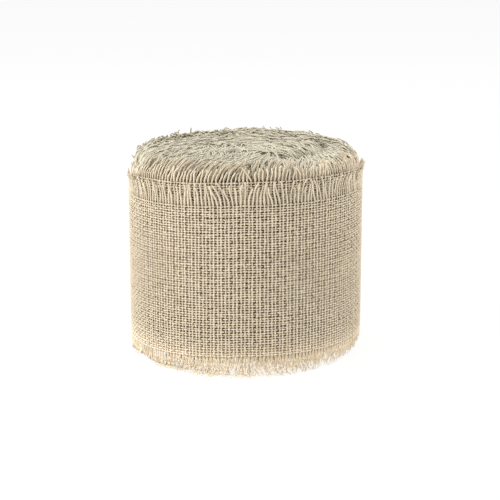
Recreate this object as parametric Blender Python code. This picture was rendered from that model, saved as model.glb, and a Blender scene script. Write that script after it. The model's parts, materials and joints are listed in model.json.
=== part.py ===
"""A roll of fringed linen ribbon, wound on a plain card core and standing on end.

The ribbon is one long strip, woven in the middle and frayed along both edges.
It winds outwards from the core as a flat spiral.  The outermost turn has slipped
down, so the fringe of the turn under it shows as a second row above its own.
The free end is a chain of short links that peel off the roll and lie straight.

Units are metres.  +Z is up, the core's axis is the Z axis, and the roll stands on z = 0.
"""

import math

import bmesh
import bpy
from mathutils import Vector

# The ribbon
WEB_WIDTH = 0.0505
FRINGE_LENGTH = 0.0065
RIBBON_THICKNESS = 0.0005
FRINGE_TIP_THICKNESS = 0.0003
FRINGE_LEAN = math.radians(42.0)

# The winding
TURNS = 24
PLAIN_TURNS = 18
LOOP_POINTS = 24
TURN_GAP = 0.00055
SEAM_ANGLE = math.radians(135.0)
PACK_LIFT = 0.0073
DISH_DEPTH = 0.0060
FOOT_HEIGHT = 0.0059

# Where the second turn from outside stops leaning and steps down, as angles short of its end
LEAN_FADE_FROM = math.radians(135.0)
LEAN_FADE_TO = math.radians(105.0)
STEP_DOWN_FROM = math.radians(105.0)
STEP_DOWN_TO = math.radians(15.0)

# The core and the tape that holds the ribbon's first end to it
CORE_BORE_RADIUS = 0.0125
CORE_WALL = 0.0015
CORE_SIDES = 2 * LOOP_POINTS
TAPE_THICKNESS = 0.0002
TAPE_FACETS = 2
TAPE_MARGIN = 0.0050

# The frayed strands, counted on each facet of a turn
TOP_STRANDS = 4
FOOT_STRANDS = 3
STRAND_WIDTH = 0.0009
STRAND_TAPER = 0.7
STRAND_SWAY = 0.0004
SWAY_STEP = 2.4
BACKING_HEIGHT = 0.0020
FRINGE_SPAN = LOOP_POINTS // 4

# The matted fringe on top of the packed turns, in sectors with rows of strands
DECK_SECTORS = 8
DECK_ROWS = 5
DECK_STRANDS = 5
DECK_MAT = 0.0032
DECK_MARGIN = 0.0020
DECK_SWAY = 0.0020

# The free end
TAIL_LINKS = 6

# Room left between neighbours
CLEARANCE = 0.0003

# Sizes that follow from those above
TURN_PITCH = RIBBON_THICKNESS + TURN_GAP
CORE_RADIUS = CORE_BORE_RADIUS + CORE_WALL
FIRST_RADIUS = CORE_RADIUS + TAPE_THICKNESS + 2 * CLEARANCE + RIBBON_THICKNESS / 2
LAST_RADIUS = FIRST_RADIUS + TURN_PITCH * TURNS
FRINGE_RISE = FRINGE_LENGTH * math.cos(FRINGE_LEAN)
HALF_RIBBON = RIBBON_THICKNESS / 2
HALF_TIP = FRINGE_TIP_THICKNESS / 2
FACET = 1.0 / LOOP_POINTS
FRINGE_REACH = FRINGE_LENGTH * math.sin(FRINGE_LEAN)
PACK_INNER = FIRST_RADIUS - HALF_RIBBON
PACK_END = TURNS - 2
SECOND_END = TURNS - 1
TAIL_START = TURNS - TAIL_LINKS * FACET
WEB_LOW = FOOT_HEIGHT
WEB_HIGH = FOOT_HEIGHT + WEB_WIDTH

FULL_TURN = 2.0 * math.pi
SMOOTH_ANGLE = math.radians(30.0)
INNER, OUTER = -1, 1
LOW, HIGH = 0, 1

# Colours are linear, roughness is the Principled value
FINISHES = {
    "woven_linen": ((0.62, 0.53, 0.40), 0.92),
    "frayed_yarn": ((0.70, 0.61, 0.47), 0.95),
    "core_card": ((0.40, 0.32, 0.22), 0.88),
    "tape_film": ((0.78, 0.74, 0.62), 0.45),
}


def clear_scene():
    """Remove whatever the scene holds."""
    for held in list(bpy.data.objects):
        bpy.data.objects.remove(held, do_unlink=True)


def make_materials():
    """One Principled material for each finish, by name."""
    made = {}
    for name, (colour, roughness) in FINISHES.items():
        material = bpy.data.materials.new(name)
        material.use_nodes = True
        shader = material.node_tree.nodes["Principled BSDF"]
        shader.inputs["Base Color"].default_value = (*colour, 1.0)
        shader.inputs["Roughness"].default_value = roughness
        shader.inputs["Metallic"].default_value = 0.0
        made[name] = material
    return made


def smooth(share):
    """A step from 0 to 1 that starts and ends gently."""
    held = min(1.0, max(0.0, share))
    return held * held * (3.0 - 2.0 * held)


def turn_radius(turn):
    """Radius of the ribbon's middle after that many turns."""
    return FIRST_RADIUS + TURN_PITCH * turn


def turn_angle(turn):
    """Angle about the axis after that many turns."""
    return SEAM_ANGLE + FULL_TURN * turn


def second_share(turn, start, end):
    """How far the second turn from outside is from one angle short of its end to another."""
    to_end = (SECOND_END - turn) * FULL_TURN
    return smooth((start - to_end) / (start - end))


def web_lift(turn):
    """How much higher the woven edge runs than on the outermost turn."""
    if turn > SECOND_END:
        return 0.0
    dish = DISH_DEPTH * (1.0 - turn_radius(turn) / LAST_RADIUS) ** 2
    return (PACK_LIFT - dish) * (1.0 - second_share(turn, STEP_DOWN_FROM, STEP_DOWN_TO))


def fringe_reach(turn):
    """How far the tips of the upper fringe reach in towards the axis."""
    return FRINGE_REACH * (1.0 - second_share(turn, LEAN_FADE_FROM, LEAN_FADE_TO))


def ring_point(turn, offset, height):
    """A point beside the ribbon's middle, at that radial offset and height."""
    radius = turn_radius(turn) + offset
    angle = turn_angle(turn)
    return Vector((radius * math.cos(angle), radius * math.sin(angle), height))


def facet_stops(start, end):
    """Turn values at the facet corners from start to end, drawn in by half a clearance."""
    count = round((end - start) * LOOP_POINTS)
    stops = [start + step * FACET for step in range(count + 1)]
    stops[0] += CLEARANCE / 2 / (FULL_TURN * turn_radius(start))
    stops[-1] -= CLEARANCE / 2 / (FULL_TURN * turn_radius(end))
    return stops


def make_object(name, mesh_builder, material, parent, origin=(0.0, 0.0, 0.0)):
    """Turn a bmesh into a named object whose own origin lies at that point of its parent's frame."""
    bmesh.ops.recalc_face_normals(mesh_builder, faces=mesh_builder.faces[:])
    mesh = bpy.data.meshes.new(name)
    mesh_builder.to_mesh(mesh)
    mesh_builder.free()
    mesh.materials.append(material)
    made = bpy.data.objects.new(name, mesh)
    bpy.context.scene.collection.objects.link(made)
    made.parent = parent
    made.location = origin
    return made


def swept_strip(stops, outline):
    """Sweep a radial outline, a list of (offset, height) that may change, along the spiral."""
    built = bmesh.new()
    rings = []
    for turn in stops:
        rings.append([built.verts.new(ring_point(turn, *corner)) for corner in outline(turn)])
    for before, after in zip(rings, rings[1:]):
        for corner in range(len(before)):
            following = (corner + 1) % len(before)
            built.faces.new((before[corner], before[following], after[following], after[corner]))
    built.faces.new(rings[0])
    built.faces.new(rings[-1][::-1])
    return built


def flat_outline(low, high):
    """The outline of a plain upright strip between two heights, each a function of the turn."""
    def outline(turn):
        return [
            (-HALF_RIBBON, low(turn)),
            (HALF_RIBBON, low(turn)),
            (HALF_RIBBON, high(turn)),
            (-HALF_RIBBON, high(turn)),
        ]
    return outline


def fringed_outline(turn):
    """The outline of a packed turn: an upright web with its upper fringe leaning in."""
    edge = WEB_HIGH + web_lift(turn)
    tip_offset = -fringe_reach(turn)
    tip_height = edge + FRINGE_RISE
    return [
        (-HALF_RIBBON, web_lift(turn)),
        (HALF_RIBBON, web_lift(turn)),
        (HALF_RIBBON, edge),
        (tip_offset + HALF_TIP, tip_height),
        (tip_offset - HALF_TIP, tip_height),
        (-HALF_RIBBON, edge),
    ]


class FringedBand:
    """An upright band of ribbon along the facets, with strands standing on either edge."""

    def __init__(self, stops, low, high):
        self.stops = stops
        self.levels = (low, high)
        self.built = bmesh.new()
        self.corners = {}

    def corner_point(self, along, side, level):
        """A point on the band: along counts facets, side and level pick the edge."""
        facet = min(int(along), len(self.stops) - 2)
        share = along - facet
        ends = []
        for turn in self.stops[facet:facet + 2]:
            ends.append(ring_point(turn, side * HALF_RIBBON, self.levels[level](turn)))
        return ends[0].lerp(ends[1], share)

    def corner(self, along, side, level):
        """The one vertex at that place."""
        key = (round(along, 6), side, level)
        if key not in self.corners:
            self.corners[key] = self.built.verts.new(self.corner_point(along, side, level))
        return self.corners[key]

    def strand_places(self, facet, count):
        """Where the strands of one facet start and end, as shares of the facets passed."""
        length = (self.corner_point(facet + 1, OUTER, LOW) - self.corner_point(facet, OUTER, LOW)).length
        half = STRAND_WIDTH / 2 / length
        centres = [facet + (place + 0.5) / count for place in range(count)]
        return [(centre - half, centre + half) for centre in centres]

    def add_strand(self, start, end, level, rise, reach):
        """Grow one strand from its four corners on the band's edge, up or down and inwards."""
        base = [
            self.corner(start, INNER, level),
            self.corner(start, OUTER, level),
            self.corner(end, OUTER, level),
            self.corner(end, INNER, level),
        ]
        middle = sum((vertex.co for vertex in base), Vector()) / len(base)
        outward = Vector((middle.x, middle.y, 0.0)).normalized()
        sideways = (base[3].co - base[0].co).normalized()
        sway = STRAND_SWAY * math.sin(SWAY_STEP * LOOP_POINTS * (start + end))
        upward = 1.0 if level == HIGH else -1.0
        tip_middle = middle - outward * reach + sideways * sway
        tip_middle.z = middle.z + upward * rise
        half_width = STRAND_WIDTH * STRAND_TAPER / 2
        tip = []
        for along, side in ((-1, INNER), (-1, OUTER), (1, OUTER), (1, INNER)):
            place = tip_middle + sideways * (along * half_width) + outward * (side * HALF_TIP)
            tip.append(self.built.verts.new(place))
        for corner in range(len(base)):
            following = (corner + 1) % len(base)
            self.built.faces.new((base[corner], base[following], tip[following], tip[corner]))
        self.built.faces.new(tip)

    def add_edge(self, level, count, rise, reach):
        """Close one edge of the band, facet by facet, with that many strands on each."""
        rows = []
        for facet in range(len(self.stops) - 1):
            row = [facet]
            for start, end in self.strand_places(facet, count):
                row += [start, end]
                self.add_strand(start, end, level, rise, reach(self.stops[facet]))
            row.append(facet + 1)
            for left, right in zip(row[::2], row[1::2]):
                self.built.faces.new((
                    self.corner(left, INNER, level),
                    self.corner(left, OUTER, level),
                    self.corner(right, OUTER, level),
                    self.corner(right, INNER, level),
                ))
            rows.append(row)
        return rows

    def finish(self, low_rows, high_rows):
        """Close the two faces and the two ends."""
        for low_row, high_row in zip(low_rows, high_rows):
            for side in (INNER, OUTER):
                around = [self.corner(along, side, LOW) for along in low_row]
                around += [self.corner(along, side, HIGH) for along in reversed(high_row)]
                self.built.faces.new(around)
        for along in (0, len(self.stops) - 1):
            self.built.faces.new((
                self.corner(along, INNER, LOW),
                self.corner(along, OUTER, LOW),
                self.corner(along, OUTER, HIGH),
                self.corner(along, INNER, HIGH),
            ))
        return self.built


def upright(turn):
    """The reach of strands that stand straight."""
    return 0.0


def fringed_band(stops, low, high, low_strands, high_strands, rise=FRINGE_LENGTH, reach=upright):
    """A band with that many strands to a facet below and above, none where the count is 0."""
    band = FringedBand(stops, low, high)
    low_rows = band.add_edge(LOW, low_strands, FOOT_HEIGHT, upright)
    high_rows = band.add_edge(HIGH, high_strands, rise, reach)
    return band.finish(low_rows, high_rows)


def make_core(materials, parent):
    """The card tube, as long as the web is wide, level with the first turn's woven edges."""
    low = WEB_LOW + web_lift(0)
    built = bmesh.new()
    profile = [
        built.verts.new((CORE_BORE_RADIUS, 0.0, low)),
        built.verts.new((CORE_RADIUS, 0.0, low)),
        built.verts.new((CORE_RADIUS, 0.0, low + WEB_WIDTH)),
        built.verts.new((CORE_BORE_RADIUS, 0.0, low + WEB_WIDTH)),
    ]
    edges = [built.edges.new((profile[i], profile[(i + 1) % len(profile)])) for i in range(len(profile))]
    bmesh.ops.spin(
        built,
        geom=profile + edges,
        cent=(0.0, 0.0, 0.0),
        axis=(0.0, 0.0, 1.0),
        angle=FULL_TURN,
        steps=CORE_SIDES,
        use_merge=True,
    )
    core = make_object("core_tube", built, materials["core_card"], parent)
    core.data.shade_smooth()
    core.data.set_sharp_from_angle(angle=SMOOTH_ANGLE)
    return core


def make_start_tape(materials, parent):
    """The strip of tape between the core and the ribbon's first end."""
    low = WEB_LOW + web_lift(0) + TAPE_MARGIN
    high = WEB_LOW + web_lift(0) + WEB_WIDTH - TAPE_MARGIN
    inner = CORE_RADIUS + CLEARANCE
    outer = inner + TAPE_THICKNESS

    def outline(turn):
        middle = turn_radius(turn)
        return [(inner - middle, low), (outer - middle, low), (outer - middle, high), (inner - middle, high)]

    stops = facet_stops(0, TAPE_FACETS * FACET)
    return make_object("start_tape", swept_strip(stops, outline), materials["tape_film"], parent)


def pack_edge(radius):
    """Height of the woven edge of the packed turn at that radius."""
    return WEB_HIGH + web_lift((radius - FIRST_RADIUS) / TURN_PITCH)


def make_packed_turns(materials, parent):
    """The turns next to the core as one plain ring, under the mat of their fringe."""
    def outline(turn):
        inner = PACK_INNER - turn_radius(turn)
        seat = BACKING_HEIGHT + CLEARANCE
        return [
            (inner, web_lift(0)),
            (HALF_RIBBON, web_lift(turn)),
            (HALF_RIBBON, pack_edge(turn_radius(turn)) - seat),
            (inner, pack_edge(PACK_INNER) - seat),
        ]

    built = swept_strip(facet_stops(PLAIN_TURNS - 1, PLAIN_TURNS), outline)
    return make_object("packed_turns", built, materials["woven_linen"], parent)


class DeckSector:
    """A sector of the mat on top of the packed turns, with rows of strands that lean in."""

    def __init__(self, first_facet, facets):
        self.facets = facets
        self.outer_turn = PLAIN_TURNS - 1 + first_facet * FACET
        self.built = bmesh.new()
        self.corners = {}
        self.draw_in = DECK_MAT * math.tan(FRINGE_LEAN)
        first = PACK_INNER + FRINGE_REACH
        last = turn_radius(PLAIN_TURNS - 1) - self.draw_in - DECK_MARGIN
        self.rows = [first + (last - first) * (row + 0.5) / DECK_ROWS for row in range(DECK_ROWS)]

    def radii(self, share):
        """Where the grid's lines lie, from the inside out, at a share of the sector's angle."""
        turn = self.outer_turn + share * self.facets * FACET
        lines = [PACK_INNER]
        for row in self.rows:
            lines += [row - HALF_RIBBON, row + HALF_RIBBON]
        return lines + [turn_radius(turn) + HALF_RIBBON]

    def shares(self):
        """Where the grid's lines lie across the sector, as shares of its angle."""
        middle = sum(self.rows) / len(self.rows)
        span = self.facets * FACET * FULL_TURN
        half = STRAND_WIDTH / 2 / (middle * span)
        inset = CLEARANCE / 2 / (PACK_INNER * span)
        lines = [inset]
        for place in range(DECK_STRANDS):
            centre = (place + 0.5) / DECK_STRANDS
            lines += [centre - half, centre + half]
        return lines + [1.0 - inset]

    def corner(self, line, column, level):
        """The one vertex at a crossing of the grid, on the mat's foot or its top."""
        key = (line, column, level)
        if key not in self.corners:
            share = self.shares()[column]
            radii = self.radii(share)
            radius = radii[line]
            height = pack_edge(radius) + (DECK_MAT if level == HIGH else -BACKING_HEIGHT)
            if level == HIGH and line == len(radii) - 1:
                radius -= self.draw_in
            angle = turn_angle(self.outer_turn) + share * self.facets * FACET * FULL_TURN
            place = (radius * math.cos(angle), radius * math.sin(angle), height)
            self.corners[key] = self.built.verts.new(place)
        return self.corners[key]

    def cell(self, line, column, level):
        """The four corners of one cell of the grid."""
        return [
            self.corner(line, column, level),
            self.corner(line + 1, column, level),
            self.corner(line + 1, column + 1, level),
            self.corner(line, column + 1, level),
        ]

    def add_strand(self, base):
        """Grow one strand from a cell of the top, leaning in and combed to one side."""
        middle = sum((vertex.co for vertex in base), Vector()) / len(base)
        outward = Vector((middle.x, middle.y, 0.0)).normalized()
        sideways = Vector((-outward.y, outward.x, 0.0))
        lean = sideways * DECK_SWAY - outward * FRINGE_REACH
        lean.z = FRINGE_RISE - DECK_MAT
        tip = []
        for vertex in base:
            offset = (vertex.co - middle) * STRAND_TAPER
            offset.z = 0.0
            tip.append(self.built.verts.new(middle + lean + offset))
        for corner in range(len(base)):
            following = (corner + 1) % len(base)
            self.built.faces.new((base[corner], base[following], tip[following], tip[corner]))
        self.built.faces.new(tip)

    def build(self):
        """Close the mat all round, with a strand in every second cell of every second row."""
        lines = len(self.radii(0.0)) - 1
        columns = len(self.shares()) - 1
        for line in range(lines):
            for column in range(columns):
                if line % 2 and column % 2:
                    self.add_strand(self.cell(line, column, HIGH))
                else:
                    self.built.faces.new(self.cell(line, column, HIGH))
                self.built.faces.new(self.cell(line, column, LOW))
        for line in range(lines):
            for column in (0, columns):
                self.side_face((line, column), (line + 1, column))
        for column in range(columns):
            for line in (0, lines):
                self.side_face((line, column), (line, column + 1))
        return self.built

    def side_face(self, start, end):
        """One face of the mat's rim."""
        self.built.faces.new((
            self.corner(*start, LOW),
            self.corner(*end, LOW),
            self.corner(*end, HIGH),
            self.corner(*start, HIGH),
        ))


def make_deck_fringe(materials, parent):
    """The matted fringe on top of the packed turns, sector by sector."""
    facets = LOOP_POINTS // DECK_SECTORS
    for sector in range(DECK_SECTORS):
        built = DeckSector(sector * facets, facets).build()
        make_object(f"deck_fringe_{sector + 1}", built, materials["frayed_yarn"], parent)


def make_wound_turns(materials, parent):
    """The packed turns that show at the rim of the top: one unbroken spiral strip."""
    built = swept_strip(facet_stops(PLAIN_TURNS, PACK_END), fringed_outline)
    return make_object("wound_turns", built, materials["woven_linen"], parent)


def backing_low(turn):
    """Foot of the woven slice that carries the second turn's upper fringe."""
    return WEB_HIGH + web_lift(turn) - BACKING_HEIGHT


def second_edge(turn):
    """Upper woven edge of the second turn."""
    return WEB_HIGH + web_lift(turn)


def make_second_turn(materials, parent):
    """The turn under the outermost: its web, and its upper fringe in quarter turns."""
    outline = flat_outline(web_lift, lambda turn: backing_low(turn) - CLEARANCE)
    web = swept_strip(facet_stops(PACK_END, SECOND_END), outline)
    make_object("second_turn", web, materials["woven_linen"], parent)
    for quarter in range(LOOP_POINTS // FRINGE_SPAN):
        start = PACK_END + quarter * FRINGE_SPAN * FACET
        stops = facet_stops(start, start + FRINGE_SPAN * FACET)
        fringe = fringed_band(stops, backing_low, second_edge, 0, TOP_STRANDS, FRINGE_RISE, fringe_reach)
        make_object(f"second_fringe_{quarter + 1}", fringe, materials["frayed_yarn"], parent)


def level_at(height):
    """A height that doesn't change along the ribbon."""
    return lambda turn: height


def make_outer_turn(materials, parent):
    """The outermost turn up to the free end: its web, and both fringes in quarter turns."""
    web_stops = facet_stops(SECOND_END, TAIL_START)
    low = level_at(WEB_LOW + BACKING_HEIGHT + CLEARANCE)
    high = level_at(WEB_HIGH - BACKING_HEIGHT - CLEARANCE)
    web = swept_strip(web_stops, flat_outline(low, high))
    make_object("outer_turn", web, materials["woven_linen"], parent)
    for quarter in range((LOOP_POINTS - TAIL_LINKS) // FRINGE_SPAN):
        start = SECOND_END + quarter * FRINGE_SPAN * FACET
        stops = facet_stops(start, start + FRINGE_SPAN * FACET)
        top = fringed_band(stops, level_at(WEB_HIGH - BACKING_HEIGHT), level_at(WEB_HIGH), 0, TOP_STRANDS)
        make_object(f"outer_top_fringe_{quarter + 1}", top, materials["frayed_yarn"], parent)
        foot = fringed_band(stops, level_at(WEB_LOW), level_at(WEB_LOW + BACKING_HEIGHT), FOOT_STRANDS, 0)
        make_object(f"outer_foot_fringe_{quarter + 1}", foot, materials["frayed_yarn"], parent)


def make_tail(materials, parent):
    """The free end: one flat link to a facet, each hung on the upright line where it bends."""
    hinge_before = Vector()
    carrier = parent
    for link in range(TAIL_LINKS):
        start = TAIL_START + link * FACET
        hinge = ring_point(start, 0.0, 0.0)
        stops = facet_stops(start, start + FACET)
        built = fringed_band(stops, level_at(WEB_LOW), level_at(WEB_HIGH), FOOT_STRANDS, TOP_STRANDS)
        bmesh.ops.translate(built, verts=built.verts[:], vec=-hinge)
        name = f"tail_link_{link + 1}"
        carrier = make_object(name, built, materials["woven_linen"], carrier, hinge - hinge_before)
        hinge_before = hinge


def point_to_line(point, start, end):
    """Distance of a point from a straight piece between two others."""
    along = end - start
    share = min(1.0, max(0.0, (point - start).dot(along) / along.length_squared))
    return (point - start - along * share).length


def least_turn_gap():
    """Least distance between neighbouring packed turns, measured on their outlines."""
    least = TURN_PITCH
    for step in range((PACK_END - 1 - PLAIN_TURNS) * LOOP_POINTS):
        turn = PLAIN_TURNS + step * FACET
        near = [Vector((turn_radius(turn) + s, z)) for s, z in fringed_outline(turn)]
        far = [Vector((turn_radius(turn + 1) + s, z)) for s, z in fringed_outline(turn + 1)]
        for points, others in ((near, far), (far, near)):
            for point in points:
                for corner in range(len(others)):
                    least = min(least, point_to_line(point, others[corner - 1], others[corner]))
    return least * math.cos(math.pi / LOOP_POINTS)


def ribbon_length():
    """Length of the whole ribbon along its middle."""
    return FULL_TURN * TURNS * (FIRST_RADIUS + LAST_RADIUS) / 2


def main():
    """Build every piece under one empty on the core's axis."""
    clear_scene()
    materials = make_materials()
    roll = bpy.data.objects.new("ribbon_roll", None)
    bpy.context.scene.collection.objects.link(roll)
    make_core(materials, roll)
    make_start_tape(materials, roll)
    make_packed_turns(materials, roll)
    make_deck_fringe(materials, roll)
    make_wound_turns(materials, roll)
    make_second_turn(materials, roll)
    make_outer_turn(materials, roll)
    make_tail(materials, roll)
    print(f"least gap between turns {least_turn_gap() * 1000:.3f} mm")
    print(f"ribbon length {ribbon_length():.3f} m")


main()
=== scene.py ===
"""Looks for a roll of frayed linen ribbon on a card core.

Every yarn of the ribbon has a number, counted along the ribbon from the core outwards.
The two turns that show are woven from real yarns, over a thin sheet whose dark colour is painted
shade, seen in the holes of the weave.  Every yarn's two ends stick out of the web as the fringe.
"""

from __future__ import annotations

import json
import logging
import math
from dataclasses import dataclass, fields, replace
from enum import Enum, IntEnum
from typing import Any, Callable, Union

import bpy
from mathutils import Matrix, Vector

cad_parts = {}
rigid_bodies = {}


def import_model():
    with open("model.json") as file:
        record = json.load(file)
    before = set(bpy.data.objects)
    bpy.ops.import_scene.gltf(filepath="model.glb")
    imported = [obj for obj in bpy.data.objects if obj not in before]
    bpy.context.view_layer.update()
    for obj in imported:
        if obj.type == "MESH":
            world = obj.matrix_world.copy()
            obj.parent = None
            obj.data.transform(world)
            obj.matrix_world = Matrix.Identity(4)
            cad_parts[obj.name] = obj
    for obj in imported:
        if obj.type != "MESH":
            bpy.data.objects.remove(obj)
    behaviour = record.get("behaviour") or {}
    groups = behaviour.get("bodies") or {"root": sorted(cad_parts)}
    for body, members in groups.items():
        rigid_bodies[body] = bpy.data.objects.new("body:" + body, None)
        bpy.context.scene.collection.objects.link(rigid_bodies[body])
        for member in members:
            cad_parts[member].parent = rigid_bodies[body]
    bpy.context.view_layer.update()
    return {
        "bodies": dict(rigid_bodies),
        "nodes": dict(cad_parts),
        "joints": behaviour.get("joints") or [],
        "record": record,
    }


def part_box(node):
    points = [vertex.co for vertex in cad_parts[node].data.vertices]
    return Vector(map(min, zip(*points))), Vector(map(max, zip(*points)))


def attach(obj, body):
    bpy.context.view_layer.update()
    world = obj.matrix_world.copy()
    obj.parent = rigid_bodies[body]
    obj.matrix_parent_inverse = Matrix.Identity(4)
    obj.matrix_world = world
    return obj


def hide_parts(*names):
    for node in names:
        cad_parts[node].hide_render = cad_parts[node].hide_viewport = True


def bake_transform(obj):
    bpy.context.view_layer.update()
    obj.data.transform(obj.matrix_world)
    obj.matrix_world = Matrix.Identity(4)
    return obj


LOG = logging.getLogger("ribbon_roll")
FULL_TURN = 2.0 * math.pi
FRINGE_LENGTH = 0.0065
WEB_WIDTH = 0.0505
TAIL_LINKS = 6
TAIL_SHARE = 0.25
YARN_SEED = 11
WHITE = (1.0, 1.0, 1.0, 1.0)

# Names of the values that the meshes keep for their materials
STRAND = "strand"
SECTION = "section"
SHARE = "share"
# 1 where a point is clear of painted shade, 0 where it is darkest
UNSHADED = "depth"

Number = Union["Value", float]
Colour = tuple[float, float, float]
Point = tuple[float, float, float]
Span = tuple[float, float]
Piece = bpy.types.Object
Material = bpy.types.Material


class Draw(IntEnum):
    """What each random number of a yarn is drawn for."""

    LENGTH = 1
    BEND = 2
    ASIDE = 3
    WIDTH = 4
    WAVE = 5
    LEAN = 6
    WILD = 7
    ACROSS_WIDTH = 20
    ACROSS_PLACE = 21
    ALONG_WIDTH = 40


@dataclass(frozen=True)
class Grain:
    """Noise along yarns: its steps from yarn to yarn and along one, its layer and its detail."""

    per_yarn: float
    per_length: float
    layer: float = 0.0
    detail: float = 0.0


def maths(operation: str, number_first: bool = False) -> Callable[..., Value]:
    """A method of a value that adds a Math node.

    Args:
        operation: what the node does.
        number_first: whether the other number comes before the value.

    Returns:
        The method.
    """

    def worked(value: Value, *others: Number) -> Value:
        """The value after the operation."""
        parts = (*others, value) if number_first else (value, *others)
        return value.tree.math(operation, *parts)

    return worked


class Value:
    """One output socket of a node tree; arithmetic on it adds Math nodes."""

    __add__ = maths("ADD")
    __sub__ = maths("SUBTRACT")
    __rsub__ = maths("SUBTRACT", number_first=True)
    __mul__ = maths("MULTIPLY")
    __truediv__ = maths("DIVIDE")
    __pow__ = maths("POWER")
    sin = maths("SINE")
    cos = maths("COSINE")
    at_least = maths("MAXIMUM")
    at_most = maths("MINIMUM")

    def __init__(self, tree: Tree, socket: bpy.types.NodeSocket) -> None:
        """Keep the socket and the tree it belongs to."""
        self.tree = tree
        self.socket = socket

    def smooth(self, start: float, end: float) -> Value:
        """A gentle step from 0 at start to 1 at end."""
        inputs = {"Value": self, "From Min": start, "From Max": end}
        return self.tree.add("ShaderNodeMapRange", {"interpolation_type": "SMOOTHSTEP"}, inputs)["Result"]


class Tree:
    """A shader or geometry node tree that is built by expressions."""

    def __init__(self, nodes: bpy.types.NodeTree) -> None:
        """Keep Blender's own tree."""
        self.nodes = nodes

    def add(self, kind: str, settings: dict | None = None, inputs: dict | None = None) -> dict[str, Value]:
        """Add a node of any kind.

        Args:
            kind: the node's type.
            settings: its own properties, which are set first.
            inputs: values or links for its sockets, by name or by place.

        Returns:
            Its outputs that are in use, by name.
        """
        node = self.nodes.nodes.new(kind)
        for name, value in (settings or {}).items():
            setattr(node, name, value)
        usable = [socket for socket in node.inputs if socket.enabled]
        for name, value in (inputs or {}).items():
            named = [socket for socket in usable if socket.name == name]
            self.fill(usable[name] if isinstance(name, int) else named[0], value)
        return {socket.name: Value(self, socket) for socket in node.outputs if socket.enabled}

    def fill(self, socket: bpy.types.NodeSocket, value: Any) -> None:
        """Link a socket to a value of the tree, or set it to a plain one.

        Args:
            socket: the input socket.
            value: what it is linked or set to.
        """
        if isinstance(value, Value):
            self.nodes.links.new(value.socket, socket)
        else:
            socket.default_value = value

    def math(self, operation: str, *values: Number) -> Value:
        """A Math node on one or two values."""
        return self.add("ShaderNodeMath", {"operation": operation}, dict(enumerate(values)))["Value"]

    def vector(self, x: Number, y: Number, z: Number) -> Value:
        """A vector from its three parts."""
        return self.add("ShaderNodeCombineXYZ", None, {"X": x, "Y": y, "Z": z})["Vector"]

    def parts(self, vector: Value) -> tuple[Value, Value, Value]:
        """The three parts of a vector."""
        split = self.add("ShaderNodeSeparateXYZ", None, {"Vector": vector})
        return split["X"], split["Y"], split["Z"]

    def noise(self, vector: Value, scale: float = 1.0, detail: float = 0.0) -> Value:
        """Smooth noise from -1 to 1, of that fineness and with that many finer octaves."""
        inputs = {"Vector": vector, "Scale": scale, "Detail": detail}
        return (self.add("ShaderNodeTexNoise", None, inputs)["Fac"] - 0.5) * 2.0

    def grain(self, grain: Grain, strand: Value, along: Value, start: float = 0.0) -> Value:
        """Noise from -1 to 1 along a yarn of that number, unlike from yarn to yarn."""
        place = self.vector(strand * grain.per_yarn + start, along * grain.per_length, grain.layer)
        return self.noise(place, detail=grain.detail)

    def mix(self, share: Number, first: Value | Colour, second: Colour) -> Value:
        """A colour between two colours.

        Args:
            share: the second colour's share.
            first: the first colour, plain or worked out.
            second: the second colour.

        Returns:
            The mixed colour.
        """
        below = first if isinstance(first, Value) else (*first, 1.0)
        inputs = {"Factor": share, "A": below, "B": (*second, 1.0)}
        return self.add("ShaderNodeMix", {"data_type": "RGBA"}, inputs)["Result"]


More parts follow.
